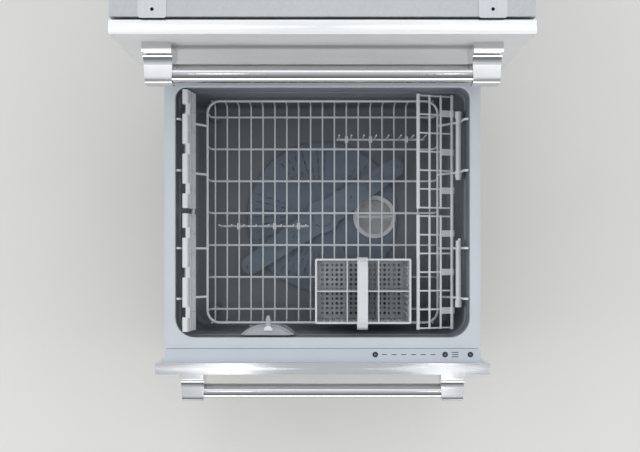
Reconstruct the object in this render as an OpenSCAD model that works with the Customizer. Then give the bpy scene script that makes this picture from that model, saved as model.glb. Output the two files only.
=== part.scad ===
// Two-drawer dishwasher: lower drawer drawn out, upper drawer closed.
// X is to the right seen from the front, Y runs from the user to the wall, Z is up.
// Drawer modules use their own frame: y = 0 at the front face, z = 0 at the front's lower edge.

/* [Cabinet] */
// Width across the drawer fronts
front_w = 599; // [560:1:620]
// How far each cabinet side stands in from the fronts' ends
side_gap = 2.5; // [1:0.5:5]
// Gap between the closed tub's rim and the outside of the back panel
back_gap = 37.1; // [35:0.1:80]
// Height of the lower front's lower edge over the floor
kick_h = 100; // [90:1:140]
// Height of the base tray over the floor
foot_h = 40; // [30:1:50]
// How far the cabinet rises over the upper front
top_margin = 6; // [5:0.5:12]
// Sheet thickness of the cabinet
sheet_t = 1.2; // [0.8:0.1:2]
// Gap between the closed fronts and the cabinet's front edges
door_gap = 3; // [2:0.5:5]
// Set-back of the kick plate from the fronts' faces
kick_set = 50; // [40:1:70]
// Height from one front's lower edge to the next
drawer_pitch = 385; // [384:1:400]
// Diameter of the hose hole in the back panel
hose_hole_d = 60; // [40:1:80]
// Distance of the worktop screws from the cabinet's sides
bracket_in = 60; // [40:1:120]
// Diameter of the worktop screws' holes
screw_hole_d = 5; // [4:0.5:6]

/* [Drawer front] */
// Height of a drawer front
panel_h = 381; // [370:1:382]
// Thickness of a drawer front
panel_t = 20; // [16:1:24]
// Sheet thickness of the stainless skin
skin_t = 1; // [0.8:0.1:1.5]
// Outer radius of the folded side edges
fold_r = 3; // [2:0.5:6]
// Depth of the control strip behind the front
strip_d = 24.5; // [22:0.5:30]
// Height of the control strip over the tub rim
strip_step = 2; // [1:0.5:4]
// Wall of the inner door moulding
door_wall = 2.5; // [2:0.1:4]
// Seam between the inner door and the tub rim
seam_gap = 0.4; // [0.2:0.1:0.6]

/* [Handle] */
// Width across the outsides of the handle brackets
handle_w = 524; // [400:1:560]
// Bracket width at the front
bracket_w = 43; // [36:1:50]
// Bracket width at its tip
bracket_tip_w = 39; // [30:1:50]
// Bracket height at its tip
bracket_h = 35; // [32:1:45]
// Height of the bracket's base on the front
base_h = 66; // [50:1:80]
// Thickness of the bracket's base
base_t = 15; // [10:0.5:18]
// How far the brackets stand out of the front
handle_reach = 58; // [50:1:70]
// Diameter of the handle bar
bar_d = 27.5; // [20:0.5:30]
// Wall of the bar's tube
bar_wall = 1.5; // [1:0.1:3]
// Distance from the front's face to the bar's axis
bar_reach = 40; // [34:0.5:44]
// Depth of the bar's axis below the front's upper edge
handle_drop = 82; // [60:1:120]
// Diameter of the bracket screws' holes
bracket_screw_d = 5.5; // [4:0.5:7]

/* [Tub] */
// Distance from the front's ends to the tub's opening
tub_side = 33.5; // [32.5:0.5:45]
// Front to back length of the tub's opening
open_d = 452; // [420:1:454]
// Radius of the opening's front corners
corner_front = 36; // [24:1:50]
// Radius of the opening's rear corners
corner_rear = 20; // [18:1:36]
// Radius of the rim's outer corners
rim_corner = 6; // [4:0.5:12]
// Width of the rim round the opening
rim_w = 19.5; // [18:0.5:20]
// Depth of the rim below the front's upper edge
rim_drop = 18; // [18:0.5:24]
// Depth of the tub
tub_depth = 220; // [210:1:224]
// Wall of the tub
tub_wall = 3; // [2:0.1:3.6]
// Draft of the tub's walls over their height
tub_draft = 4.5; // [2:0.1:5]
// Radius between the tub's walls and floor
tub_fillet = 12; // [8:1:13]
// Radius of the sump in the middle of the tub floor
sump_r = 60; // [50:1:62]
// Depth of the sump below the tub floor
sump_d = 30; // [20:1:34]
// Radius of the drain filter's well
well_r = 38; // [30:1:38]
// Depth of the drain filter's well
well_d = 34; // [24:1:36]
// Distance from the sump's centre to the well's centre
well_x = 105; // [104:1:108]

/* [Drawer travel] */
// Full travel of a drawer
travel = 522; // [450:1:522]
// Height of a runner's centre over the front's lower edge
runner_z = 215; // [205:1:225]
// Height of the fixed runner member
runner_h = 45; // [40:1:50]
// Sheet thickness of the runners
runner_t = 1.4; // [1:0.1:2]
// Sliding clearance between runner members
runner_fit = 0.4; // [0.3:0.1:0.5]
// Width of the fixed and middle runner members
runner_w = 12.8; // [10:0.1:14]
// Distance from the runners' rear ends to the outside of the back panel
runner_back = 18; // [10:1:40]

/* [Lid] */
// How far a lid lifts off the rim
lid_lift = 6; // [4:0.5:6]
// Height of the lid's plate and ribs
lid_h = 9; // [6:0.5:9]
// Height of the lid seal
seal_h = 4; // [3:0.5:4]
// Width of the lid seal
seal_w = 10; // [8:0.5:12]
// Radius of the lid's guide pins
lid_pin_r = 3; // [2:0.5:3]

/* [Basket] */
// Gap between the sides of the tub's opening and the basket's rim
basket_side = 45.5; // [44:0.5:60]
// Gap between the ends of the tub's opening and the basket's rim
basket_end = 14; // [13:0.5:24]
// Depth of the basket's rim below the tub rim
basket_drop = 110; // [100:1:120]
// Height of the basket's rim over its floor
basket_h = 58; // [40:1:60]
// How far the basket sits behind the middle of the tub
basket_back = 5.6; // [0:0.1:8]
// Bend radius of the floor wires
wire_bend = 12; // [8:1:16]
// Diameter of the rim wire
rim_wire = 5; // [4:0.1:6]
// Diameter of the floor's cross wires
cross_wire = 4.2; // [4:0.1:5]
// Diameter of the floor's long wires
long_wire = 3.2; // [2.6:0.1:3.6]
// Spacing of the floor's long wires
long_pitch = 23.5; // [20:0.5:30]
// Number of cross wires
cross_count = 7; // [5:1:8]
// Diameter of the rack hinge rods
rod_d = 6; // [4:0.1:6.4]
// Distance of the rack hinge rods from the sides of the tub's opening
rod_in = 23; // [22:0.5:28]
// Depth of the rack hinge rods below the tub rim
rod_drop = 73; // [72:0.5:86]
// Diameter of the sleeves between the hangers
sleeve_d = 6; // [5:0.1:6.4]

/* [Racks] */
// Distance of the rear racks from the rear of the tub's opening
rack_end = 3.6; // [3:0.1:12]
// Gap between the front and the rear rack
rack_gap = 9.8; // [3:0.1:10]
// Distance of the front racks from the front of the tub's opening
rack_start = 10; // [9:0.5:12]
// Reach of a rack from its hinge rod
rack_reach = 70; // [60:1:70]
// How far a cup rack's upper rail stands outwards from its hinge rod
rack_t = 10; // [9:0.5:11]
// How far a cup rack's lowest rib stands inwards from its hinge rod
rib_in = 7; // [4:0.5:8]
// Length of a cup rack's narrow segments
notch_l = 18; // [12:1:24]
// Spacing of the narrow segments and of the racks' hinge eyes
notch_pitch = 72; // [60:0.5:74]
// Slope of a wire shelf when folded down
shelf_slope = 20; // [15:1:30]
// Diameter of a wire shelf's outer rail
shelf_wire = 6.2; // [4:0.1:6.4]
// Diameter of a wire shelf's two middle rails
shelf_mid_wire = 4.2; // [3.4:0.1:5]
// Distances of the four hangers on each side from the front's face
hanger_y = [134, 226, 367, 460];
// Width of a hanger
hanger_w = 4; // [3:0.5:6]
// Distances of the left and the right tine row from the front's face
tine_y = [270, 440];
// Distance of the innermost prongs from the middle
tine_x = 31.5; // [24:0.5:40]
// Number of prongs in a row
tine_count = 8; // [4:1:8]
// Height of the tine prongs
tine_h = 72; // [50:1:76]
// Diameter of the tine prongs
tine_d = 3.2; // [2.6:0.1:4]
// Diameter of the tine rows' rods
tine_rod_d = 4; // [3.4:0.1:4.6]

/* [Cutlery basket] */
// Width of the cutlery basket
cutlery_w = 174; // [150:1:176]
// Depth of the cutlery basket from front to back
cutlery_d = 117; // [100:1:120]
// Height of the cutlery basket
cutlery_h = 124; // [100:1:126]
// Wall of the cutlery basket
cutlery_wall = 1.8; // [1.4:0.1:2.4]
// Gap between the cutlery basket and the wire shelves
cutlery_gap = 11; // [6:1:20]
// Pitch of the holes in the cutlery basket's floor
cutlery_pitch = 9.4; // [8.6:0.1:12]
// Diameter of the holes
cutlery_hole_d = 5.6; // [4:0.1:6.4]
// Height of the skids under the cutlery basket
skid_h = 3.6; // [2:0.1:6]
// Width of the strap handle
strap_w = 19; // [12:1:24]
// Thickness of the strap handle
strap_t = 2.4; // [2:0.1:4]
// Distance from the cutlery basket's left side to the strap's middle
strap_in = 85; // [70:1:100]

/* [Dispenser] */
// Distance from the middle of the tub to the dispenser's middle
dispenser_x = -101; // [-120:1:-90]
// Radius of the dispenser's curved face
dispenser_r = 70; // [66:1:76]
// How far the dispenser stands into the tub
dispenser_reach = 20; // [18:0.5:24]
// Height of the dispenser
dispenser_h = 90; // [80:1:100]
// Depth of the dispenser's top below the rim
dispenser_drop = 14; // [10:1:30]
// Thickness of the dispenser's door
hatch_t = 2.6; // [2:0.1:4]

/* [Buttons] */
// Distances of the three buttons from the control strip's right-hand end
button_in = [190.5, 64.5, 19];
// Distance from the front's face to the buttons' axes
button_y = 34; // [30:0.5:38]
// Radius of a button
button_r = 4.8; // [3.5:0.1:5]
// Clearance round a button
button_fit = 0.25; // [0.15:0.05:0.4]
// Height of a button over the strip
button_rise = 0.9; // [0.6:0.1:1.5]

/* [Spray arm] */
// Reach of each blade
arm_reach = 192; // [160:1:200]
// Width of a blade at its root
arm_w = 54; // [40:1:60]
// Thickness of the arm
arm_t = 10; // [8:0.5:12]
// Radius of the riser tube that the arm turns on
riser_r = 12; // [10:0.5:13]
// Radial clearance of the arm on the riser
riser_fit = 0.06; // [0.02:0.01:0.1]
// Radius of the filter plate
plate_r = 152; // [150:1:160]

/* [Hidden] */
$fn = 48;
eps = 0.01;
seat = 0.3;
cab_w = front_w - 2 * side_gap;
cab_in = cab_w / 2 - sheet_t;
open_w = front_w - 2 * tub_side;
door_w = open_w + 2 * rim_w;
strip_y = panel_t + strip_d;
tub_y = strip_y + seam_gap + rim_w;
unit_d = tub_y + open_d + rim_w + back_gap;
face_y = (handle_reach + travel - unit_d) / 2;
back_y = face_y + unit_d;
cab_front = face_y + panel_t + door_gap;
kick_y = face_y + kick_set;
lower_z = kick_h;
upper_z = kick_h + drawer_pitch;
cab_top = upper_z + panel_h + top_margin;
rim_z = panel_h - rim_drop;
strip_z = rim_z + strip_step;
mid_y = tub_y + open_d / 2;
floor_z = rim_z - tub_depth;
door_z = 12;
rail_z0 = lower_z + strip_z + 3;
rail_z1 = upper_z + door_z - 3;
lip_h = 54;
flange = 14;
swage_z = [60, 300];
runner_x = cab_in - runner_w;
runner_y = 50;
runner_l = unit_d - runner_y - runner_back;
mid_x1 = cab_in - runner_t - 0.6;
mid_x0 = mid_x1 - runner_w;
mid_h = runner_h - 2 * (runner_t + runner_fit);
slide_x1 = mid_x1 - runner_t - 0.6;
slide_x0 = open_w / 2 + 5;
slide_h = mid_h - 2 * (runner_t + runner_fit);
lid_z = rim_z + 0.4 + lid_lift + seal_h;
lid_grow = rim_w - 1;
lid_x = open_w / 2 + lid_grow;
lid_pin_z = 5;
lid_pin_y = [46, open_d - 46];
guide_x = lid_x + 2.5;
sump_z = floor_z - sump_d;
riser_z = floor_z + 24;
plate_z = floor_z + seat;
plate_t = 4;
arm_z = floor_z + 14;
basket_w = open_w - 2 * basket_side;
basket_d = open_d - 2 * basket_end;
basket_z = rim_z - basket_drop;
wires_z = basket_z - basket_h;
basket_y = mid_y + basket_back - basket_d / 2;
first_cross = 23;
post_w = 10;
rim_r = 24;
rod_x = open_w / 2 - rod_in;
rod_z = rim_z - rod_drop;
rack_l = (open_d - rack_start - rack_gap - rack_end) / 2;
rack_y = [tub_y + rack_start, tub_y + rack_start + rack_l + rack_gap];
rack_mid = rack_l / 2;
eye_r = rod_d / 2 + 2.1;
eye_w = notch_l - 6;
hanger_top = rim_z - 8;
sleeve_z = rim_z - 45;
hanger_x = open_w / 2 - 9;
tine_z = wires_z + 9;
tine_wires = [2, 4, 7];
cutlery_x = rod_x - rack_reach - cutlery_gap - cutlery_w;
strap_x = cutlery_x + strap_in;
cutlery_y = tub_y + 23.6;
cutlery_z = wires_z + cross_wire / 2 + seat + skid_h;
cutlery_top = cutlery_z + cutlery_h;
dispenser_y = tub_y + tub_draft - 1.4;
dispenser_z = rim_z - dispenser_drop - dispenser_h;
hatch_y = 12;
hatch_x = [-33, 4];
hatch_z = [8, 54];
cap_x = 20;
cap_z = 34;
cap_r = 11.5;
hinge_r = hatch_t / 2;
button_x = [for (d = button_in) door_w / 2 - d];
handle_z = panel_h - handle_drop;
bar_x = handle_w / 2 - bracket_w + 12;

steel = [0.78, 0.79, 0.8];
zinc = [0.66, 0.68, 0.7];
pale = [0.76, 0.79, 0.83];
grey = [0.38, 0.4, 0.43];
white = [0.88, 0.89, 0.9];
black = [0.08, 0.08, 0.09];
blue_grey = [0.52, 0.58, 0.65];

// ---- placing ----

// Puts a lower-drawer piece where the open drawer holds it
module lower_at(share = 1) {
  translate([0, face_y - share * travel, lower_z]) children();
}

// Puts an upper-drawer piece where the closed drawer holds it
module upper_at() {
  translate([0, face_y, upper_z]) children();
}

// A piece and its mirror image on the other side
module both() {
  children();
  mirror([1, 0, 0]) children();
}

// ---- shared shapes ----

// Outline of the tub's opening grown outwards by g, front edge at y = 0
module outline(g) {
  w = open_w / 2 + g;
  rf = corner_front + g;
  rb = corner_rear + g;
  translate([-w + rf, -g]) square([2 * (w - rf), open_d / 2 + g]);
  translate([-w + rb, open_d / 2 - eps]) square([2 * (w - rb), open_d / 2 + g + eps]);
  translate([-w, rf - g]) square([2 * w, open_d + 2 * g - rf - rb]);
  for (s = [-1, 1]) {
    translate([s * (w - rf), rf - g]) circle(rf, $fn = 96);
    translate([s * (w - rb), open_d + g - rb]) circle(rb, $fn = 96);
  }
}

// Sweeps a flat section round a rectangle with rounded corners; x of the section points outwards
module sweep(w, d, rf, rb) {
  translate([-w / 2 + rf, 0, 0]) rotate([90, 0, 90]) linear_extrude(w - 2 * rf) mirror([1, 0]) children();
  translate([-w / 2 + rb, d, 0]) rotate([90, 0, 90]) linear_extrude(w - 2 * rb) children();
  both() {
    translate([w / 2, d - rb, 0]) rotate([90, 0, 0]) linear_extrude(d - rf - rb) children();
    translate([w / 2 - rf, rf, 0]) rotate([0, 0, -90]) rotate_extrude(angle = 90) translate([rf, 0]) children();
    translate([w / 2 - rb, d - rb, 0]) rotate_extrude(angle = 90) translate([rb, 0]) children();
  }
}

module around_tub() {
  sweep(open_w, open_d, corner_front, corner_rear) children();
}

// Box with rounded upright edges, standing on z = 0 from the corner at the origin
module rounded_box(x, y, z, r) {
  linear_extrude(z) {
    translate([r, 0]) square([x - 2 * r, y]);
    translate([0, r]) square([x, y - 2 * r]);
    for (i = [r, x - r], j = [r, y - r]) translate([i, j]) circle(r);
  }
}

// Round-ended slot of length l along x, centred
module slot(l, w) {
  square([l - w, w], center = true);
  for (s = [-1, 1]) translate([s * (l - w) / 2, 0]) circle(d = w);
}

function unit(v) = v / norm(v);
function left(v) = [-v[1], v[0]];
// Direction and length of the mitre at point i of a path
function mitre(p, i) =
  let (a = unit(i > 0 ? p[i] - p[i - 1] : p[1] - p[0]),
       b = i < len(p) - 1 ? unit(p[i + 1] - p[i]) : a,
       m = unit(left(a) + left(b)))
  m / (m * left(a));

// Flat strip of thickness t along the given points, mitred at its bends
module strip_path(points, t) {
  last = len(points) - 1;
  polygon(concat(
    [for (i = [0 : last]) points[i] + t / 2 * mitre(points, i)],
    [for (i = [last : -1 : 0]) points[i] - t / 2 * mitre(points, i)]));
}

// Straight eight-sided wire from p to q, with both ends run on by half its thickness
module wire(p, q, d) {
  v = q - p;
  l = norm(v);
  u = v / l;
  translate(p - u * d * 0.2) rotate([0, acos(u[2]), atan2(u[1], u[0])])
    rotate(22.5) cylinder(h = l + 0.4 * d, d = d / cos(22.5), $fn = 8);
}

// Sheet seen end-on from x = 0 (inside) to sheet_t, h tall, with pressed swages at the heights in rows
module swaged_sheet(h, rows) {
  depth = 2.2;
  half = 14;
  difference() {
    union() {
      square([sheet_t, h]);
      for (z = rows) translate([0, z]) swage(depth, half);
    }
    for (z = rows) translate([sheet_t, z]) swage(depth, half);
  }
}

// Section of one swage, standing out to -x
module swage(depth, half) {
  polygon([[eps, -half], [-depth, depth - half], [-depth, half - depth], [eps, half]]);
}

// Channel section with its web at x1, flanges back to x0, h tall about z = 0
module channel(x0, x1, h) {
  translate([x1 - runner_t, -h / 2]) square([runner_t, h]);
  for (s = [-1, 1]) translate([x0, s * (h - runner_t) / 2 - runner_t / 2]) square([x1 - x0, runner_t]);
}

// ---- cabinet ----

module side_panel() {
  h = cab_top - sheet_t - foot_h;
  d = back_y - sheet_t - cab_front;
  rows = [for (z = swage_z, base = [lower_z, upper_z]) base + z - foot_h];
  difference() {
    union() {
      translate([cab_in, cab_front + d, foot_h]) rotate([90, 0, 0]) linear_extrude(d) swaged_sheet(h, rows);
      translate([cab_in - flange, back_y - 2 * sheet_t, foot_h]) cube([flange + sheet_t, sheet_t, h]);
      translate([cab_in - flange, cab_front + 30, cab_top - 2 * sheet_t])
        cube([flange + sheet_t, d - 30, sheet_t]);
    }
    translate([cab_in - 5, cab_front - 1, foot_h - 1])
      cube([sheet_t + 10, kick_set - panel_t - door_gap + 1, kick_h - 5 - foot_h + 1]);
  }
}

module side_panel_left() {
  color(zinc) mirror([1, 0, 0]) side_panel();
}

module side_panel_right() {
  color(zinc) side_panel();
}

module top_panel() {
  w = cab_w;
  color(zinc) difference() {
    union() {
      translate([-w / 2, cab_front, cab_top - sheet_t]) cube([w, unit_d - panel_t - door_gap, sheet_t]);
      translate([-cab_in, cab_front, cab_top - 18]) cube([2 * cab_in, sheet_t, 18]);
      translate([-cab_in, cab_front, cab_top - 18]) cube([2 * cab_in, 14, sheet_t]);
    }
    for (i = [-2 : 2], j = [0 : 3]) translate([i * 96, cab_front + 100 + j * 110, cab_top - 0.5])
      linear_extrude(1) slot(64, 10);
    both() translate([cab_w / 2 - bracket_in, cab_front + 10, cab_top - 25])
      cylinder(h = 30, d = screw_hole_d + 1);
  }
}

module worktop_brackets() {
  color(steel) both() translate([cab_w / 2 - bracket_in, cab_front, cab_top]) difference() {
    translate([-20, -2, 0]) rounded_box(40, 36, 1.5, 4);
    translate([0, 10, -1]) cylinder(h = 4, d = screw_hole_d);
    translate([0, 26, -1]) cylinder(h = 4, d = 3.4);
  }
}

module back_panel() {
  z0 = kick_h - 12;
  color(zinc) difference() {
    translate([-cab_w / 2, back_y - sheet_t, z0]) cube([cab_w, sheet_t, cab_top - sheet_t - z0]);
    translate([cab_w / 2 - 117, back_y - 5, z0 + 62]) rotate([-90, 0, 0]) cylinder(h = 10, d = hose_hole_d);
    for (i = [-3 : 3], j = [0 : 2]) translate([i * 60, back_y, z0 + 560 + j * 50]) rotate([90, 0, 0])
      linear_extrude(6, center = true) slot(40, 5);
    for (i = [-1, 1], j = [0, 1]) translate([i * 130, back_y - 0.5, z0 + 300 + j * 150]) rotate([-90, 0, 0])
      linear_extrude(2) slot(200, 16);
  }
}

module base_tray() {
  d = back_y - 2 * sheet_t - kick_y;
  color(zinc) difference() {
    union() {
      translate([-cab_in, kick_y, foot_h]) cube([2 * cab_in, d, sheet_t]);
      both() translate([cab_in - sheet_t, kick_y, foot_h]) cube([sheet_t, d, 26]);
      translate([-cab_in, kick_y, foot_h]) cube([2 * cab_in, sheet_t, lip_h]);
      translate([-cab_in, cab_front, foot_h + lip_h - sheet_t])
        cube([2 * cab_in, kick_y - cab_front + 20, sheet_t]);
      translate([-cab_in, cab_front, foot_h + lip_h - 14]) cube([2 * cab_in, sheet_t, 14]);
    }
    feet_at() translate([0, 0, foot_h - 1]) cylinder(h = 5, r = 5.3);
    for (i = [-2 : 2], j = [0 : 1]) translate([i * 70, kick_y + 120 + j * 240, foot_h - 1])
      linear_extrude(4) rotate(90) slot(60, 8);
  }
}

// The four places of the levelling feet
module feet_at() {
  for (i = [-1, 1], y = [kick_y + 30, back_y - 50]) translate([i * (cab_w / 2 - 45), y, 0]) children();
}

module levelling_feet() {
  color(black) feet_at() {
    rotate_extrude() polygon([[0, 0], [19, 0], [20, 1], [20, 4], [9, 9], [5, 10],
      [5, foot_h + 22], [4, foot_h + 23], [0, foot_h + 23]]);
    translate([0, 0, foot_h - 6]) cylinder(h = 6, r = 9.5, $fn = 6);
    translate([0, 0, foot_h + sheet_t]) cylinder(h = 5, r = 9.5, $fn = 6);
  }
}

module kick_plate() {
  h = foot_h + lip_h - sheet_t - 8;
  color(grey) difference() {
    translate([-cab_in + 1, kick_y - 2.4, 6]) union() {
      cube([2 * cab_in - 2, 2.2, h]);
      translate([0, -7, h - 2]) cube([2 * cab_in - 2, 8, 2]);
      translate([0, -3, 0]) cube([2 * cab_in - 2, 4, 2]);
    }
    for (i = [-9 : 9]) translate([i * 26, kick_y, 34]) rotate([90, 0, 0])
      linear_extrude(10, center = true) rotate(90) slot(26, 5);
  }
}

module centre_rail() {
  h = rail_z1 - rail_z0;
  color(zinc) translate([-cab_in, cab_front, rail_z0]) {
    cube([2 * cab_in, sheet_t, h]);
    cube([2 * cab_in, 20, sheet_t]);
    translate([0, 0, h - sheet_t]) cube([2 * cab_in, 20, sheet_t]);
    for (x = [0, cab_in - sheet_t / 2, 2 * cab_in - sheet_t]) translate([x, 0, 0]) cube([sheet_t, 20, h]);
  }
}

// Runner member of section child, from y0 over the runner length, on both sides
module runner_pair(y0) {
  both() translate([0, y0 + runner_l, runner_z]) rotate([90, 0, 0]) linear_extrude(runner_l) children();
}

module fixed_runners() {
  color(steel) for (z = [lower_z, upper_z]) translate([0, face_y, z]) difference() {
    runner_pair(runner_y) channel(runner_x, cab_in, runner_h);
    both() for (y = [40, runner_l - 40]) translate([cab_in - 5, runner_y + y, runner_z]) rotate([0, 90, 0])
      cylinder(h = 10, d = 4.5);
  }
}

module mid_runners() {
  color(steel) difference() {
    runner_pair(runner_y) channel(mid_x0, mid_x1, mid_h);
    both() for (y = [60 : 77 : runner_l - 60]) translate([mid_x1 - 5, runner_y + y, runner_z])
      rotate([0, 90, 0]) linear_extrude(10) rotate(90) slot(40, 9);
  }
}

module drawer_runners() {
  color(steel) difference() {
    both() translate([0, runner_y + runner_l, runner_z]) rotate([90, 0, 0]) linear_extrude(runner_l)
      translate([slide_x0 + slide_x1, 0]) mirror([1, 0]) channel(slide_x0, slide_x1, slide_h);
    both() for (y = side_boss_y) translate([slide_x0 - 5, y, runner_z]) rotate([0, 90, 0])
      cylinder(h = 10, d = 4.5);
  }
}

side_boss_y = [tub_y + 60, mid_y, tub_y + open_d - 60];

module lid_guide() {
  low = lid_lift + lid_pin_r + 5;
  high = lid_pin_r + 2.8;
  slot_w = lid_pin_r + seat;
  translate([guide_x, 0, 0]) rotate([90, 0, 90]) linear_extrude(cab_in - guide_x) difference() {
    translate([-11, -low]) square([22, low + high]);
    translate([-slot_w, -lid_lift]) square([2 * slot_w, lid_lift]);
    for (z = [0, -lid_lift]) translate([0, z]) circle(slot_w);
  }
}

module lid_guides() {
  color(white) for (z = [lower_z, upper_z], y = lid_pin_y)
    translate([0, face_y + tub_y + y, z + lid_z + lid_pin_z]) both() lid_guide();
}

module inlet_valve() {
  z = foot_h + sheet_t;
  color(white) translate([92 - cab_w / 2, back_y - 4, z]) {
    translate([-24, -70, 0]) rounded_box(48, 44, 6, 4);
    translate([0, -62, 21]) rotate([-90, 0, 0]) cylinder(h = 40, r = 15);
    translate([0, -24, 21]) rotate([-90, 0, 0]) cylinder(h = 4, r = 18);
    translate([0, -20, 21]) rotate([-90, 0, 0]) difference() {
      cylinder(h = 20, r = 13.2);
      translate([0, 0, 3]) cylinder(h = 20, r = 9);
    }
    translate([0, -48, 6]) cylinder(h = 34, r = 12);
  }
}

module drain_spigot() {
  z = foot_h + sheet_t;
  color(grey) translate([157 - cab_w / 2, back_y - 4, z]) difference() {
    union() {
      translate([-20, -60, 0]) rounded_box(40, 30, 5, 4);
      translate([-8, -56, 0]) cube([16, 22, 20]);
      translate([0, -56, 20]) rotate([-90, 0, 0]) {
        cylinder(h = 30, r = 14);
        cylinder(h = 56, r = 9.5);
        for (k = [34, 42]) translate([0, 0, k]) cylinder(h = 3, r1 = 9.5, r2 = 10.6);
      }
    }
    translate([0, -46, 20]) rotate([-90, 0, 0]) cylinder(h = 50, r = 7);
  }
}

module control_module() {
  color(grey) translate([40, kick_y + 150, foot_h + sheet_t]) {
    rounded_box(180, 150, 30, 6);
    translate([-3, -3, 24]) rounded_box(186, 156, 4, 8);
    for (i = [0 : 5]) translate([22 + i * 24, 150, 5]) cube([14, 9, 12]);
  }
}

module cable_gland() {
  z = foot_h + sheet_t;
  color(black) translate([cab_w / 2 - 177, back_y - 4, z]) difference() {
    union() {
      translate([-16, -30, 0]) cube([32, 4, 34]);
      translate([0, -40, 18]) rotate([-90, 0, 0]) cylinder(h = 38, r = 9);
      translate([0, -26, 18]) rotate([-90, 0, 0]) cylinder(h = 6, r = 13, $fn = 6);
    }
    translate([0, -41, 18]) rotate([-90, 0, 0]) cylinder(h = 50, r = 4.2);
  }
}

// ---- lids ----

module lid() {
  color(white) translate([0, tub_y, lid_z]) {
    linear_extrude(2) outline(lid_grow - 1.2);
    around_tub() translate([lid_grow - 2.5, 0]) square([2.5, lid_h]);
    for (i = [-2 : 2]) translate([i * open_w / 6 - 1, -lid_grow + 1, 1])
      cube([2, open_d + 2 * lid_grow - 2, lid_h - 3]);
    for (j = [1 : 4]) translate([-lid_x + 1, j * open_d / 5 - 1, 1]) cube([2 * lid_x - 2, 2, lid_h - 4]);
    both() for (y = lid_pin_y) translate([lid_x - 1, y, lid_pin_z]) rotate([0, 90, 0])
      cylinder(h = cab_in - lid_x + 0.6, r = lid_pin_r);
  }
}

module lid_seal() {
  r = seal_h / 2;
  color(black) translate([0, tub_y, lid_z - seal_h]) around_tub() translate([rim_w * 0.42, r])
    slot(seal_w, seal_h);
}

// ---- drawer: tub and machinery ----

// Section of the opening's edge, the tub's wall and fillet; u = 0 is the opening's edge, height 0 the rim
module tub_section() {
  step = 54;
  foot = tub_fillet - tub_depth;
  x1 = -tub_draft;
  t = tub_wall;
  rise = [for (a = [90 : 15 : 180]) [-cos(a), -sin(a)]];
  bend = [x1 - tub_fillet, foot];
  inner = [for (i = [6 : -1 : 0]) bend + tub_fillet * rise[i]];
  outer = [for (i = [0 : 6]) bend + (tub_fillet + t) * rise[i]];
  polygon(concat(
    [[t + 2, 0], [1, 0], [0, -1], [-0.8, -step + 1], [-2, -step]],
    inner, outer,
    [[t - 2, -step - 2], [t - 0.8, -step], [t, -t], [t + 2, -t]]));
}

// Plan of the rim, a rectangle with small corner radii, drawn in by inset
module rim_plan(inset) {
  g = rim_w - inset;
  r = rim_corner - inset * 0.6;
  translate([-open_w / 2 - g, -g]) {
    translate([r, 0]) square([open_w + 2 * (g - r), open_d + 2 * g]);
    translate([0, r]) square([open_w + 2 * g, open_d + 2 * (g - r)]);
    for (x = [r, open_w + 2 * g - r], y = [r, open_d + 2 * g - r]) translate([x, y]) circle(r);
  }
}

// Rim's flat top with its lower outer ledge, and the skirt that hangs from it
module rim_deck() {
  ledge = 0.8;
  lip = 4.6;
  skirt = 12;
  difference() {
    union() {
      translate([0, 0, -tub_wall]) linear_extrude(tub_wall) rim_plan(lip);
      translate([0, 0, -tub_wall]) linear_extrude(tub_wall - ledge) rim_plan(0.6);
      translate([0, 0, -tub_wall]) linear_extrude(tub_wall - ledge - 0.6) rim_plan(0);
    }
    translate([0, 0, -tub_wall - 1]) linear_extrude(tub_wall + 2) outline(tub_wall + 1);
  }
  translate([0, 0, -skirt]) linear_extrude(skirt - tub_wall + eps) difference() {
    rim_plan(0);
    rim_plan(2);
  }
}

module tub() {
  inset = -tub_draft - tub_fillet;
  rib_h = 10;
  rib_z = floor_z - tub_wall - rib_h;
  rib_x = open_w / 2 - 36;
  color(pale) translate([0, tub_y, 0]) difference() {
    union() {
      translate([0, 0, rim_z]) around_tub() tub_section();
      translate([0, 0, rim_z]) rim_deck();
      translate([0, 0, floor_z - tub_wall]) linear_extrude(tub_wall) outline(inset + eps);
      translate([0, open_d / 2, 0]) {
        translate([0, 0, sump_z - tub_wall]) cylinder(h = sump_d + 1, r = sump_r + tub_wall);
        translate([well_x, 0, floor_z - well_d - tub_wall]) cylinder(h = well_d + 1, r = well_r + tub_wall);
      }
      both() translate([rib_x - 60 - 1.5, 20, rib_z]) cube([3, open_d - 40, rib_h + 1]);
      for (y = [90, open_d - 90]) translate([-rib_x, y - 1.5, rib_z]) cube([2 * rib_x, 3, rib_h + 1]);
      both() for (y = side_boss_y) translate([open_w / 2 - tub_draft, y - tub_y - 18, runner_z - 14])
        cube([5 + tub_draft, 36, 28]);
      both() for (y = [first_cross, basket_d - first_cross])
        translate([basket_w / 2 - 16.5, basket_y - tub_y + y - post_w / 2, floor_z - 1])
          rounded_box(16, post_w, wires_z - cross_wire / 2 - seat - floor_z + 1, 3);
    }
    translate([0, open_d / 2, 0]) {
      translate([0, 0, sump_z]) cylinder(h = tub_depth / 2, r = sump_r);
      translate([well_x, 0, floor_z - well_d]) cylinder(h = tub_depth / 2, r = well_r);
      translate([0, 0, sump_z - 10]) cylinder(h = 20, r = riser_r + 0.3);
    }
  }
}

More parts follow.
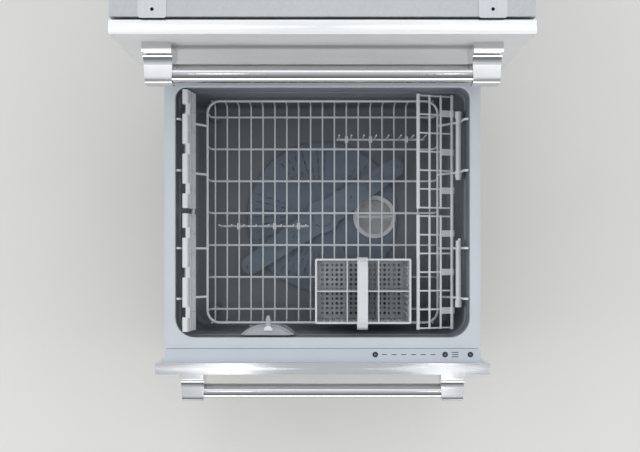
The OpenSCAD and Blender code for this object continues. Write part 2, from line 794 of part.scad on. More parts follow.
module wash_motor() {
  top = sump_z - tub_wall - seat;
  flange_r = min(sump_r + tub_wall, well_x - well_r - tub_wall - 1);
  color(grey) translate([0, mid_y, 0]) {
    difference() {
      union() {
        translate([0, 0, top - 8]) cylinder(h = 8, r = flange_r);
        translate([0, 0, top - 44]) cylinder(h = 36 + eps, r = 50);
        translate([0, 0, top - 54]) cylinder(h = 10 + eps, r = 30);
        for (a = [0 : 30 : 330]) rotate(a) translate([49, -1.5, top - 40]) cube([10, 3, 33]);
        translate([0, 0, top - 8]) cylinder(h = riser_z - top + 8, r = riser_r);
      }
      translate([0, 0, top - 6]) cylinder(h = 200, r = riser_r - 2.5);
    }
    translate([well_x, -18, top - 34]) rotate([-90, 0, 0]) cylinder(h = 62, r = 20);
    translate([40, -8, top - 20]) cube([60, 16, 12]);
  }
}

module filter_plate() {
  petals = 5;
  color(blue_grey) translate([0, mid_y, plate_z]) difference() {
    union() {
      linear_extrude(plate_t) circle(plate_r, $fn = 96);
      rotate_extrude($fn = 96) translate([plate_r - 4, plate_t])
        polygon([[0, -eps], [4, -eps], [3, 2], [1, 2]]);
    }
    translate([0, 0, -1]) cylinder(h = 10, r = riser_r + 6);
    translate([well_x, 0, -1]) cylinder(h = 10, r = well_r + 1);
    for (a = [0 : petals - 1]) rotate(36 + a * 360 / petals) {
      translate([26, -1, plate_t - 1.4]) cube([plate_r - 32, 2, 3]);
      rotate(180 / petals) translate([62, -46, plate_t - 1.4]) cube([2, 92, 3]);
    }
    for (a = [0 : petals - 1], i = [0 : 6], j = [0 : 3])
      if (!(a == 2 && i > 0)) rotate(a * 360 / petals + 180 + (i - 3) * 6.6) translate([80 + j * 17, 0, -1])
        linear_extrude(8) slot(11, 2.6);
  }
}

module drain_filter() {
  depth = well_d - 1;
  color(white) translate([well_x, mid_y, floor_z]) {
    difference() {
      union() {
        translate([0, 0, -depth]) cylinder(h = depth + 6, r = well_r - 0.8);
        translate([0, 0, plate_t + 0.7]) cylinder(h = 3, r = well_r + 5);
      }
      translate([0, 0, -depth + 2]) cylinder(h = 60, r = well_r - 2.8);
      for (a = [0 : 30 : 330], z = [-8, -20]) rotate(a) translate([well_r - 6, 0, z - 3]) rotate([90, 0, 90])
        linear_extrude(8) slot(11, 6);
    }
    translate([-(well_r - 2), -2.5, -4]) cube([2 * (well_r - 2), 5, 15]);
  }
}

// One blade of the spray arm, along +x
module blade() {
  tip = arm_w * 0.34;
  polygon([[0, -arm_w / 2], [arm_reach - tip, -tip], [arm_reach - tip, tip], [0, arm_w / 2]]);
  translate([arm_reach - tip, 0]) circle(tip);
}

module spray_arm() {
  bore = riser_r + riser_fit;
  color(blue_grey) translate([0, mid_y, arm_z]) rotate(34) difference() {
    union() {
      linear_extrude(arm_t) for (a = [0, 180]) rotate(a) blade();
      linear_extrude(arm_t) circle(arm_w / 2 + 6);
      translate([0, 0, arm_t - 2]) linear_extrude(4) for (a = [0, 180]) rotate(a)
        translate([arm_reach / 2 - 6, 0]) slot(arm_reach - 30, 13);
      translate([0, 0, -3]) cylinder(h = arm_t + 8, r = riser_r + 7);
      for (k = [0.36, 0.56, 0.76, 0.94], a = [0, 180]) rotate(a) translate([arm_reach * k, 0, arm_t])
        cylinder(h = 3.4, r = 5.5);
    }
    translate([0, 0, -4]) cylinder(h = riser_z - arm_z + 4 + seat, r = bore);
    for (k = [0.36, 0.56, 0.76, 0.94], a = [0, 180]) rotate(a) translate([arm_reach * k, 0, arm_t - 3])
      linear_extrude(10) rotate(k * 80) slot(7, 2);
  }
}

// ---- drawer: front ----

// Plan of the front, rounded at the two front corners
module front_plan(inset) {
  r = max(fold_r - inset, 0.5);
  w = front_w / 2 - inset;
  translate([-w, inset + r]) square([2 * w, panel_t - inset - r]);
  translate([-w + r, inset]) square([2 * (w - r), r + eps]);
  for (s = [-1, 1]) translate([s * (w - r), inset + r]) circle(r);
}

// Places of the four bracket screws on the front's face
module bracket_screws_at() {
  for (s = [-1, 1], z = [-10, 10]) translate([s * (handle_w - bracket_w) / 2, 0, handle_z + z]) children();
}

module front_panel() {
  color(steel) difference() {
    linear_extrude(panel_h) front_plan(0);
    difference() {
      translate([0, 0, skin_t]) linear_extrude(panel_h - 2 * skin_t) front_plan(skin_t);
      translate([-front_w / 2, panel_t - skin_t, -1]) difference() {
        cube([front_w, 2, panel_h + 2]);
        translate([9, -1, 10]) cube([front_w - 18, 4, panel_h - 18]);
      }
    }
    bracket_screws_at() rotate([-90, 0, 0]) translate([0, 0, -1]) cylinder(h = 5, d = bracket_screw_d);
  }
}

module inner_door() {
  w = door_w / 2;
  t = door_wall;
  h = strip_z - door_z;
  flare = 6;
  color(pale) difference() {
    union() {
      translate([-w, panel_t - 1, door_z]) linear_extrude(h) {
        square([door_w, strip_d - 4]);
        translate([5, 0]) square([door_w - 10, strip_d + 1]);
        for (x = [5, door_w - 5]) translate([x, strip_d - 4]) circle(5);
        translate([w, 1]) both() translate([w - eps, 0]) difference() {
          square(flare);
          translate([flare, flare]) circle(flare);
        }
      }
      translate([-front_w / 2 + 11, panel_t - 3, 12]) cube([front_w - 22, 3, panel_h - 22]);
    }
    translate([-w + t, panel_t, door_z + t]) cube([door_w - 2 * t, strip_d - t, h - 2 * t]);
    for (x = button_x) translate([x, button_y, strip_z - 10]) cylinder(h = 20, r = button_r + button_fit);
  }
  color(pale) for (x = [-220 : 110 : 220]) translate([x - 1, panel_t - 1, door_z + 1])
    cube([2, strip_d - 1, h - 14]);
}

// Side view of a bracket: base against the front, curved neck and rounded tip, about z = 0
module bracket_side() {
  r = 9;
  tip = bracket_h / 2;
  neck = base_h / 2 - tip;
  translate([-base_t, -base_h / 2]) square([base_t, base_h]);
  translate([-handle_reach + r, -tip]) square([handle_reach - r, 2 * tip]);
  translate([-handle_reach, -tip + r]) square([r + eps, 2 * (tip - r)]);
  for (s = [-1, 1]) translate([-handle_reach + r, s * (tip - r)]) circle(r);
  for (s = [0, 1]) mirror([0, s]) difference() {
    translate([-base_t - neck, tip - eps]) square([neck + eps, neck - 2]);
    translate([-base_t - neck, tip + neck]) circle(neck);
  }
}

module handle_bracket() {
  w = bracket_w;
  dx = (bracket_w - bracket_tip_w) / 2;
  difference() {
    intersection() {
      translate([handle_w / 2 - w, 0, handle_z - base_h / 2]) linear_extrude(base_h)
        polygon([[0, 0], [0, -base_t], [dx, -handle_reach], [w - dx, -handle_reach], [w, -base_t], [w, 0]]);
      translate([handle_w / 2 - w - 1, 0, handle_z]) rotate([90, 0, 90]) linear_extrude(w + 2) bracket_side();
    }
    translate([handle_w / 2 - w - 1, -bar_reach, handle_z]) rotate([0, 90, 0])
      cylinder(h = 13.5, r = bar_d / 2 + 0.1);
    for (s = [-1, 1])
      translate([handle_w / 2 - w - 1, -handle_reach + 3.6, handle_z + s * (bracket_h / 2 + 0.3) - 3])
        cube([w + 2, 0.8, 6]);
  }
}

module handle_brackets() {
  color(steel) both() difference() {
    handle_bracket();
    for (z = [-10, 10]) translate([(handle_w - bracket_w) / 2, 1, handle_z + z]) rotate([90, 0, 0])
      cylinder(h = 14, d = bracket_screw_d - 1.3);
  }
}

module handle_bar() {
  color(steel) translate([-bar_x, -bar_reach, handle_z]) rotate([0, 90, 0]) difference() {
    cylinder(h = 2 * bar_x, d = bar_d);
    translate([0, 0, -1]) cylinder(h = 2 * bar_x + 2, d = bar_d - 2 * bar_wall);
  }
}

// Push button number i with its dished cap and the flange that keeps it in
module button(i) {
  under = strip_z - door_wall;
  color(black) translate([button_x[i], button_y, 0]) difference() {
    union() {
      translate([0, 0, under - 8]) cylinder(h = strip_z + button_rise - under + 8 - 0.5, r = button_r);
      translate([0, 0, strip_z + button_rise - 0.5]) cylinder(h = 0.5, r = button_r - 0.5);
      translate([0, 0, under - seat - 1.5]) cylinder(h = 1.5, r = button_r + 2);
    }
    translate([0, 0, strip_z + button_rise - 0.6]) cylinder(h = 2, r = button_r * 0.45);
  }
}

// ---- drawer: basket and racks ----

// U-shaped wire in the YZ plane: floor run l long at z = 0, both ends up to h
module u_wire(l, h, d) {
  b = wire_bend;
  translate([0, b, 0]) rotate([-90, 0, 0]) cylinder(h = l - 2 * b, d = d, $fn = 24);
  for (m = [0, 1]) translate([0, m * l, 0]) mirror([0, 1 - m, 0]) {
    translate([0, 0, b]) cylinder(h = h - b, d = d, $fn = 24);
    translate([0, -b, b]) rotate([0, 90, 0]) rotate_extrude(angle = 90, $fn = 24)
      translate([b, 0]) circle(d = d);
  }
}

// One hanger: from the basket's rim past the hinge rod, up the wall and over to its ledge
module hanger() {
  rotate([90, 0, 0]) linear_extrude(hanger_w, center = true)
    strip_path([[basket_w / 2, basket_z], [rod_x, rod_z], [rod_x + 8, rod_z + 7], [hanger_x, rod_z + 18],
      [hanger_x, hanger_top - 8], [hanger_x + 2, hanger_top - 3], [hanger_x + 7.8, hanger_top]], long_wire);
}

module basket(saddles) {
  rows = floor((basket_w / 2 - 6) / long_pitch);
  step = (basket_d - 2 * first_cross) / (cross_count - 1);
  color(white) {
    for (i = [-rows : rows]) translate([i * long_pitch, basket_y, wires_z])
      u_wire(basket_d, basket_h, long_wire);
    for (j = [0 : cross_count - 1]) translate([-basket_w / 2, basket_y + first_cross + j * step, wires_z])
      rotate([0, 0, -90]) u_wire(basket_w, basket_h, cross_wire);
    translate([0, basket_y, basket_z]) sweep(basket_w, basket_d, rim_r, rim_r) circle(d = rim_wire);
    both() {
      for (y = hanger_y) translate([0, y, 0]) hanger();
      translate([rod_x, rack_y[0], rod_z]) rotate([-90, 0, 0])
        cylinder(h = rack_y[1] + rack_l - rack_y[0], d = rod_d);
      for (i = [0, 2]) translate([hanger_x - 3.6, hanger_y[i] - 14, sleeve_z]) rotate([-90, 0, 0])
        cylinder(h = hanger_y[i + 1] - hanger_y[i] + 32, d = sleeve_d);
    }
    if (saddles) for (m = [0, 1], i = tine_wires) mirror([1 - m, 0, 0])
      translate([i * long_pitch, tine_y[m], 0]) tine_saddle();
  }
}

// Saddle that holds a tine row's rod over a long wire
module tine_saddle() {
  difference() {
    translate([-3, -6, wires_z]) cube([6, 12, tine_z - wires_z + 5]);
    translate([-4, 0, tine_z]) rotate([0, 90, 0]) cylinder(h = 8, r = tine_rod_d / 2 + 0.08);
  }
}

// Hinge eye of a rack round a rod along y, eye_w long about y = 0
module eye() {
  rotate([90, 0, 0]) cylinder(h = eye_w, r = eye_r, center = true);
}

module eye_bore() {
  rotate([90, 0, 0]) cylinder(h = rack_l * 2, r = rod_d / 2 + 0.08, center = true);
}

// Cup rack standing up from its rod at the origin; its upper rail stands out to -x
module cup_rack() {
  base = 14;
  back = -3;
  rail_h = 12;
  top = rack_reach - rail_h;
  tiers = 3;
  rib = 3;
  web = 2;
  step = (top - base) / tiers;
  color(white) difference() {
    union() {
      translate([back, 0, top - 10]) cube([2.4, rack_l, rail_h + 9]);
      translate([back, 0, base]) cube([rib, rack_l, rib]);
      for (i = [0 : tiers]) translate([rib_in * (1 - i / tiers) - rib, 0, base + i * step])
        cube([rib, rack_l, rib]);
      for (y = [web, rack_l, for (j = [-2 : 2]) rack_mid + j * notch_pitch / 2 + web / 2])
        translate([0, y, 0]) rotate([90, 0, 0]) linear_extrude(web)
          polygon([[back, base], [rib_in, base], [rib_in, base + rib], [0, top + rib], [back, top + rib]]);
      cup_rail(top, rail_h);
      for (s = [-1 : 1]) translate([0, rack_mid + s * notch_pitch, 0]) {
        eye();
        translate([back, -eye_w / 2, 1]) cube([4.4, eye_w, base + 1]);
      }
    }
    translate([0, rack_mid, 0]) eye_bore();
  }
}

// Upper rail of a cup rack: wide blocks, with narrow ones set inwards at the hinge eyes
module cup_rail(z, h) {
  out = -rack_t;
  difference() {
    translate([out, 0, z]) cube([8, rack_l, h]);
    for (s = [-1 : 1]) translate([out - 1, rack_mid + s * notch_pitch - notch_l / 2, z - 1])
      cube([10, notch_l, h + 2]);
    translate([out + 1.8, -1, z + 1.8]) cube([10, rack_l + 2, h - 3.6]);
  }
  for (s = [-1 : 1]) translate([out + 5.4, rack_mid + s * notch_pitch - notch_l / 2 - 1, z])
    cube([7.3, notch_l + 2, h - 2]);
}

// Wire shelf reaching towards -x from its rod at the origin
module wire_shelf() {
  step = rack_reach / 3;
  first = rod_d / 2 + 0.8;
  spread = (rack_l - 6) / 6;
  color(white) rotate([0, shelf_slope, 0]) difference() {
    union() {
      for (i = [1 : 3]) translate([-i * step, 0, 0])
        wire([0, 2, 0], [0, rack_l - 2, 0], i == 3 ? shelf_wire : shelf_mid_wire);
      for (j = [-3 : 3]) translate([0, rack_mid + j * spread, 0])
        wire([-first, 0, 0], [-rack_reach, 0, 0], long_wire);
      for (s = [-1 : 1]) translate([0, rack_mid + s * notch_pitch, 0]) {
        eye();
        translate([-step, -eye_w / 2, -2]) cube([step - 2, eye_w, 4]);
      }
    }
    translate([0, rack_mid, 0]) eye_bore();
  }
}

// Row of prongs on its rod, on the right-hand side
module tine_row(y) {
  color(white) translate([tine_x, y, tine_z]) {
    translate([-4, 0, 0]) rotate([0, 90, 0])
      cylinder(h = (tine_count - 1) * long_pitch + 8, d = tine_rod_d);
    for (i = [0 : tine_count - 1]) translate([i * long_pitch, 0, 0]) {
      cylinder(h = tine_h, d = tine_d);
      translate([0, 0, tine_h]) sphere(d = tine_d, $fn = 24);
    }
  }
}

// Wall of the cutlery basket, w wide and h high, pierced by upright slots in three rows
module slotted_wall(w, h) {
  n = floor((w - 12) / 11);
  tier = (h - 14) / 3;
  difference() {
    square([w, h]);
    for (i = [0 : n - 1], j = [0 : 2]) translate([w / 2 + (i - (n - 1) / 2) * 11, 7 + (j + 0.5) * tier])
      rotate(90) slot(tier - 6, 6);
  }
}

module cutlery_basket() {
  w = cutlery_w;
  d = cutlery_d;
  t = cutlery_wall;
  nx = floor((w - 8) / cutlery_pitch);
  ny = floor((d - 8) / cutlery_pitch);
  color(white) translate([cutlery_x, cutlery_y, cutlery_z]) {
    linear_extrude(t) difference() {
      square([w, d]);
      for (i = [0 : nx - 1], j = [0 : ny - 1])
        translate([w / 2 + (i - (nx - 1) / 2) * cutlery_pitch, d / 2 + (j - (ny - 1) / 2) * cutlery_pitch])
          circle(d = cutlery_hole_d, $fn = 16);
    }
    for (y = [t, d]) translate([0, y, 0]) rotate([90, 0, 0]) linear_extrude(t) slotted_wall(w, cutlery_h);
    for (x = [0, w - t]) translate([x, 0, 0]) rotate([90, 0, 90]) linear_extrude(t) slotted_wall(d, cutlery_h);
    for (x = [w / 3, 2 * w / 3]) translate([x - t / 2, t / 2, 0]) cube([t, d - t, cutlery_h - 2]);
    translate([t / 2, d / 2 - t / 2, 0]) cube([w - t, t, cutlery_h - 2]);
    translate([0, 0, cutlery_h - 3]) difference() {
      translate([-1.6, -1.6, 0]) rounded_box(w + 3.2, d + 3.2, 3, 3);
      translate([t, t, -1]) cube([w - 2 * t, d - 2 * t, 5]);
    }
    for (x = [w / 6, 5 * w / 6]) translate([x - 1, 6, -skid_h]) cube([2, d - 12, skid_h + eps]);
  }
}

// Strap that arches over the cutlery basket from its front wall to its rear wall
module cutlery_handle() {
  out = 1.6 + seat + strap_t / 2;
  d = cutlery_d;
  color(white) translate([strap_x - strap_w / 2, cutlery_y, cutlery_top]) rotate([90, 0, 90])
    linear_extrude(strap_w) strip_path([[-out, -24], [-out, 0], [-out - 4, 4], [-out - 7, 10], [-out - 6.5, 16],
      [-out - 3, 21], [3, 24.5], [12, 26], [d - 26, 26], [d - 14, 24.5], [d - 5, 20.5], [d + out - 1, 13],
      [d + out, 4], [d + out, -24]], strap_t);
}

// Knuckles, pins or bores along the dispenser door's hinge axis, in the dispenser's frame
module hinge_line(x, l, r) {
  translate([x, hatch_y - hinge_r, hatch_z[0] + hinge_r]) rotate([0, 90, 0]) cylinder(h = l, r = r);
}

module dispenser_body() {
  cy = dispenser_reach - dispenser_r;
  x0 = hatch_x[0] - 0.4;
  x1 = cap_x + cap_r + 2;
  knuckle_r = 3;
  knuckle_l = 3.4;
  bore_l = 2.4;
  color(grey) translate([dispenser_x, dispenser_y, dispenser_z]) difference() {
    union() {
      difference() {
        intersection() {
          union() {
            translate([0, cy, 0]) cylinder(h = dispenser_h, r = dispenser_r - 4, $fn = 96);
            translate([0, cy, 4]) cylinder(h = dispenser_h - 10, r = dispenser_r, $fn = 96);
          }
          translate([-80, 0, -1]) cube([160, 60, dispenser_h + 2]);
        }
        translate([x0, hatch_y - hatch_t - 0.4, hatch_z[0] - 0.4])
          cube([x1 - x0, 40, hatch_z[1] - hatch_z[0] + 0.8]);
        translate([hatch_x[0] + 3, 2, hatch_z[0] + 4])
          cube([hatch_x[1] - hatch_x[0] - 6, 20, hatch_z[1] - hatch_z[0] - 8]);
        translate([x0 - 20, hatch_y + 0.4, -2]) cube([x1 - x0 + 20, 40, hatch_z[0] + 2]);
        translate([cap_x, 4, cap_z]) rotate([-90, 0, 0]) cylinder(h = 20, r = 7.3);
      }
      hinge_line(x0 - knuckle_l, knuckle_l, knuckle_r);
      hinge_line(hatch_x[1] + 0.4, knuckle_l, knuckle_r);
    }
    hinge_line(x0 - bore_l, hatch_x[1] - x0 + 0.4 + 2 * bore_l, hinge_r + 0.05);
  }
}

module dispenser_door() {
  w = hatch_x[1] - hatch_x[0];
  h = hatch_z[1] - hatch_z[0];
  pin_l = 2;
  color(grey) translate([dispenser_x, dispenser_y, dispenser_z]) {
    hinge_line(hatch_x[0] - pin_l, w + 2 * pin_l, hinge_r);
    translate([hatch_x[0], hatch_y - hatch_t, hatch_z[0]]) {
      difference() {
        translate([0, 0, hinge_r]) cube([w, hatch_t, h - hinge_r]);
        translate([6, hatch_t - 1, h - 14]) cube([w - 12, 2, 3]);
        translate([6, hatch_t - 1, h - 20]) cube([w - 12, 2, 3]);
      }
      translate([w / 2 - 9, hatch_t - eps, h - 6]) cube([18, 4, 4]);
    }
  }
}

module rinse_cap() {
  color(blue_grey) translate([dispenser_x + cap_x, dispenser_y + hatch_y - hatch_t, dispenser_z + cap_z])
    rotate([-90, 0, 0]) {
      cylinder(h = 3, r = cap_r);
      translate([0, 0, -4]) cylinder(h = 5, r = 7);
      translate([-8, -1.6, 3 - eps]) cube([16, 3.2, 4]);
    }
}

// ---- all nodes ----

side_panel_left();
side_panel_right();
top_panel();
back_panel();
base_tray();
kick_plate();
levelling_feet();
centre_rail();
fixed_runners();
lid_guides();
worktop_brackets();
inlet_valve();
drain_spigot();
control_module();
cable_gland();
lower_at(0) lid();  // lower_lid
lower_at(0) lid_seal();  // lower_lid_seal
upper_at() lid();  // upper_lid
upper_at() lid_seal();  // upper_lid_seal
lower_at(0.5) mid_runners();  // lower_mid_runners
upper_at() mid_runners();  // upper_mid_runners
lower_at() tub();  // lower_tub
lower_at() inner_door();  // lower_inner_door
lower_at() front_panel();  // lower_front_panel
lower_at() handle_bar();  // lower_handle_bar
lower_at() handle_brackets();  // lower_handle_brackets
lower_at() drawer_runners();  // lower_drawer_runners
lower_at() wash_motor();  // lower_wash_motor
lower_at() filter_plate();  // lower_filter_plate
lower_at() basket(true);  // lower_basket
lower_at() spray_arm();  // lower_spray_arm
lower_at() drain_filter();
lower_at() translate([-rod_x, rack_y[1], rod_z]) cup_rack();  // cup_rack_rear
lower_at() translate([-rod_x, rack_y[0], rod_z]) cup_rack();  // cup_rack_front
lower_at() translate([rod_x, rack_y[1], rod_z]) wire_shelf();  // wire_shelf_rear
lower_at() translate([rod_x, rack_y[0], rod_z]) wire_shelf();  // wire_shelf_front
lower_at() mirror([1, 0, 0]) tine_row(tine_y[0]);  // fold_tines_left
lower_at() tine_row(tine_y[1]);  // fold_tines_right
lower_at() cutlery_basket();
lower_at() cutlery_handle();
lower_at() dispenser_body();
lower_at() dispenser_door();
lower_at() rinse_cap();
lower_at() button(0);  // lower_start_button
lower_at() button(1);  // lower_lock_button
lower_at() button(2);  // lower_power_button
upper_at() tub();  // upper_tub
upper_at() inner_door();  // upper_inner_door
upper_at() front_panel();  // upper_front_panel
upper_at() handle_bar();  // upper_handle_bar
upper_at() handle_brackets();  // upper_handle_brackets
upper_at() drawer_runners();  // upper_drawer_runners
upper_at() wash_motor();  // upper_wash_motor
upper_at() filter_plate();  // upper_filter_plate
upper_at() basket(false);  // upper_basket
upper_at() spray_arm();  // upper_spray_arm
upper_at() button(0);  // upper_start_button
upper_at() button(1);  // upper_lock_button
upper_at() button(2);  // upper_power_button
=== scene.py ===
# %% [markdown]
# A dishwasher with two drawers, seen from straight above with the lower one drawn out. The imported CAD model
# is the machine itself, with every piece in its measured place. Blender adds what a drawing cannot show: the
# brushing on the steel, the grain of the plastics, the dipped coating on the wires, and the small fixings.
# The model could be rebuilt here, but keeping the CAD meshes means that nothing can drift out of place.

# %% Frame
import math

import bmesh
import bpy
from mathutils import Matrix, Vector


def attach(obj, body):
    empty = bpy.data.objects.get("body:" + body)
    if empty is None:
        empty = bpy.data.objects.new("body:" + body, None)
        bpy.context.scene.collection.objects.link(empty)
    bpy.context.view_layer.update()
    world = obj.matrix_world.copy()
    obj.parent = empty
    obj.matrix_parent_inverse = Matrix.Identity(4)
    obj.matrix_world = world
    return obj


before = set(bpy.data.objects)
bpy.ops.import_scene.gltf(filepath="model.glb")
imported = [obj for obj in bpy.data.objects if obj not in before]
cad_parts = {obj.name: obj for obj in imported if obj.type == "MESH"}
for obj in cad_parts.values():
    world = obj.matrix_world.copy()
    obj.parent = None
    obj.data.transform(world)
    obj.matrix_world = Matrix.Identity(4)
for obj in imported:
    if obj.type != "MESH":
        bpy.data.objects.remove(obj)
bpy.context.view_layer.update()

# %% [markdown]
# Blender counts in metres, and the drawing in millimetres. A place in a drawer is easiest to give from the
# drawer's own front and base, so two helpers turn it into a place in the room. The lower drawer stands open,
# which brings everything in it forward by the length that it is drawn.

# %% Measures
MM, MICRON = 0.001, 0.000001
DRAWN = 522.0
LOWER_BASE, UPPER_BASE, FACE = 100.0, 485.0, 3.5
RIM = 363.0


def lower(x, y, z):
    """A place in the open lower drawer, from millimetres in the drawer to metres in the room."""
    return Vector((x, FACE - DRAWN + y, LOWER_BASE + z)) * MM


def upper(x, y, z):
    """The same place in the closed upper drawer."""
    return Vector((x, FACE + y, UPPER_BASE + z)) * MM


print("lower tub rim at", lower(0, 0, RIM).z, "m, upper tub rim at", upper(0, 0, RIM).z, "m")

# %% [markdown]
# A finish is a material: one shader with a few nodes before it. Nodes are wordy to add by hand, so a value
# that leaves a node is wrapped in a small class that knows plus, minus and times. A sum written with it
# becomes Math nodes, and the recipe reads like the maths it stands for.

# %% Sums that become nodes
class Flow:
    """The value that leaves one socket of a node."""

    def __init__(self, recipe, socket):
        self.recipe, self.socket = recipe, socket

    def sum(self, operation, first, second):
        return self.recipe.node("Math", {"operation": operation}, {0: first, 1: second})

    def __add__(self, other):
        return self.sum("ADD", self, other)

    def __radd__(self, other):
        return self.sum("ADD", other, self)

    def __sub__(self, other):
        return self.sum("SUBTRACT", self, other)

    def __rsub__(self, other):
        return self.sum("SUBTRACT", other, self)

    def __mul__(self, other):
        return self.sum("MULTIPLY", self, other)

    def __rmul__(self, other):
        return self.sum("MULTIPLY", other, self)


print("sums ready")

# %% [markdown]
# Any other node is made by one method. It takes the node's type, then its settings, then what goes into its
# sockets, which may be a plain number or the result of another node. Constants such as a metal's full
# Metallic go straight on the shader, where an exporter can read them.

# %% Recipes
class Recipe:
    """A tree of nodes under construction."""

    def __init__(self, tree):
        self.tree = tree

    def node(self, kind, settings=None, sockets=None, result=0):
        made = self.tree.nodes.new("ShaderNode" + kind)
        for key, value in (settings or {}).items():
            setattr(made, key, value)
        for key, value in (sockets or {}).items():
            if isinstance(value, Flow):
                self.tree.links.new(value.socket, made.inputs[key])
            else:
                made.inputs[key].default_value = value
        return Flow(self, made.outputs[result])

    def place(self, stretch=(1, 1, 1)):
        """Where on the piece a point is, in metres, squeezed or stretched along each axis."""
        spot = self.node("TexCoord", result="Object")
        return self.node("VectorMath", {"operation": "MULTIPLY"}, {0: spot, 1: stretch})

    def grain(self, scale, stretch=(1, 1, 1), detail=2.0):
        """Soft random grain from 0 to 1."""
        return self.node("TexNoise", {"noise_dimensions": "3D"},
                         {"Vector": self.place(stretch), "Scale": scale, "Detail": detail})

    def between(self, share, first, second):
        """A colour between two others."""
        return self.node("Mix", {"data_type": "RGBA"}, {0: share, 6: first, 7: second}, result=2)

    def ramp(self, value, low, high):
        """0 below low, 1 above high and a straight line between."""
        return self.node("MapRange", {"clamp": True}, {"Value": value, 1: low, 2: high, 3: 0.0, 4: 1.0})


class Finish(Recipe):
    """A material with its shader ready. Constants go straight on the shader."""

    def __init__(self, name, **constants):
        self.material = bpy.data.materials.new(name)
        self.material.use_nodes = True
        super().__init__(self.material.node_tree)
        self.shader = self.tree.nodes["Principled BSDF"]
        for socket, value in constants.items():
            self.shader.inputs[socket.replace("_", " ")].default_value = value

    def feed(self, socket, flow):
        self.tree.links.new(flow.socket, self.shader.inputs[socket])

    def tint(self, share, first, second):
        """Lets the colour of the surface drift between two screen colours."""
        self.feed("Base Color", self.between(share, colour(*first), colour(*second)))

    def rough(self, height, depth):
        """Raises the surface by depth metres where height is 1."""
        self.feed("Normal", self.node("Bump", None, {"Strength": 1.0, "Distance": depth, "Height": height}))


def colour(red, green, blue):
    """A colour as it is read off a screen, from 0 to 255, turned into the linear values of a shader."""
    def linear(value):
        share = value / 255
        return share / 12.92 if share <= 0.04045 else ((share + 0.055) / 1.055) ** 2.4
    return (linear(red), linear(green), linear(blue), 1.0)


print("mid grey is", round(colour(128, 128, 128)[0], 3), "in a shader")

# %% [markdown]
# The drawer fronts are stainless steel, ground with a belt across the width. The belt leaves scratches that
# are long one way and hair-fine the other, so the grain is a noise stretched along them. They spread light
# vertically but hardly sideways, and an anisotropic shader does the same. The upper edge is folded over and
# smoother, and the direction that a surface faces tells it from the front. Surfaces that face upwards are
# also given a darker grey, which is painted shade.

# %% Brushed stainless
LONG_WAY, FINE_WAY = 6.0, 900.0


def drawer_front():
    finish = Finish("stainless_brushed_across", Metallic=1.0, Anisotropic=0.8, Anisotropic_Rotation=0.25)
    streaks = finish.grain(1.0, (LONG_WAY, FINE_WAY, FINE_WAY), 3.0)
    broad = finish.grain(7.0)
    facing = finish.node("TexCoord", result="Normal")
    top_gloss_and_painted_shade = finish.ramp(finish.node("SeparateXYZ", None, {0: facing}, result="Z"), 0.5, 0.9)
    shade = finish.ramp(streaks * 0.7 + broad * 0.3, 0.3, 0.7)
    face = finish.between(shade, colour(206, 207, 208), colour(224, 224, 225))
    # Upward-facing surfaces take a darker grey here, which is painted shade. Their lower roughness is the
    # smoother fold.
    finish.feed("Base Color", finish.between(top_gloss_and_painted_shade, face, colour(200, 201, 203)))
    finish.feed("Roughness", streaks * 0.14 + broad * 0.06 + top_gloss_and_painted_shade * -0.42 + 0.48)
    finish.rough(streaks, 8 * MICRON)
    return finish.material


panel_steel = drawer_front()
print("brushed finish:", panel_steel.name)

# %% [markdown]
# The bars and their brackets are polished after brushing, so they mirror the room in crisp bands. Only a
# trace of the grain is left, with a few soft wipe marks.

# %% Polished stainless
TRACE_LONG_WAY, TRACE_FINE_WAY = 5.0, 420.0
ALONG_X, ALONG_Y = 0, 1


def polished(name, along, tone):
    """Bright steel with a trace of grain along one axis. Tone is its grey, as on a screen."""
    finish = Finish(name, Metallic=1.0)
    hair = [TRACE_FINE_WAY] * 3
    hair[along] = TRACE_LONG_WAY
    trace = finish.grain(1.0, hair)
    wipe = finish.grain(16.0)
    finish.tint(wipe, (tone - 5, tone - 4, tone - 3), (tone + 4, tone + 4, tone + 5))
    finish.feed("Roughness", trace * 0.05 + wipe * 0.05 + 0.05)
    finish.rough(trace, 2 * MICRON)
    return finish.material


bar_steel = polished("stainless_polished_bar", ALONG_X, 212)
bracket_steel = polished("stainless_polished_bracket", ALONG_Y, 218)
print("polished finishes:", bar_steel.name, bracket_steel.name)

# %% [markdown]
# The cabinet is galvanised sheet. Molten zinc freezes in flat crystals, the spangle, a few millimetres
# across, each a slightly different grey. Voronoi cells give the crystals. The runners are cold rolled before
# they are plated, so faint lines run along them instead.

# %% Galvanised and plated sheet
SPANGLE = 210.0
ROLLED_LINES = (700, 9, 700)


def galvanised():
    finish = Finish("galvanised_sheet", Metallic=0.9)
    crystal = finish.node("TexVoronoi", {"feature": "F1"},
                          {"Vector": finish.place(), "Scale": SPANGLE, "Randomness": 1.0}, result="Color")
    grey = finish.node("SeparateColor", None, {0: crystal})
    cloud = finish.grain(9.0)
    finish.tint(grey * 0.35 + cloud * 0.65, (170, 173, 176), (198, 201, 204))
    finish.feed("Roughness", grey * 0.12 + cloud * 0.1 + 0.3)
    finish.rough(grey, 10 * MICRON)
    return finish.material


def zinc_plated():
    finish = Finish("zinc_plated_runner", Metallic=0.95)
    rolled = finish.grain(1.0, ROLLED_LINES)
    cloud = finish.grain(22.0)
    finish.tint(rolled * 0.6 + cloud * 0.4, (170, 173, 178), (212, 214, 216))
    finish.feed("Roughness", rolled * 0.14 + cloud * 0.08 + 0.2)
    finish.rough(rolled, 8 * MICRON)
    return finish.material


galvanised_sheet = galvanised()
runner_zinc = zinc_plated()
print("sheet finishes:", galvanised_sheet.name, runner_zinc.name)

# %% [markdown]
# Most of the inside is moulded plastic. Moulds are spark-eroded or blasted, which leaves a fine pebble on
# the plastic, and the colour clouds a little where the melt flowed. One recipe with its own colour, gloss
# and pebble serves each plastic.

# %% Moulded plastics
PLASTIC_IOR = 1.49
FINE_PEBBLE, COARSE_PEBBLE = 2600.0, 1900.0


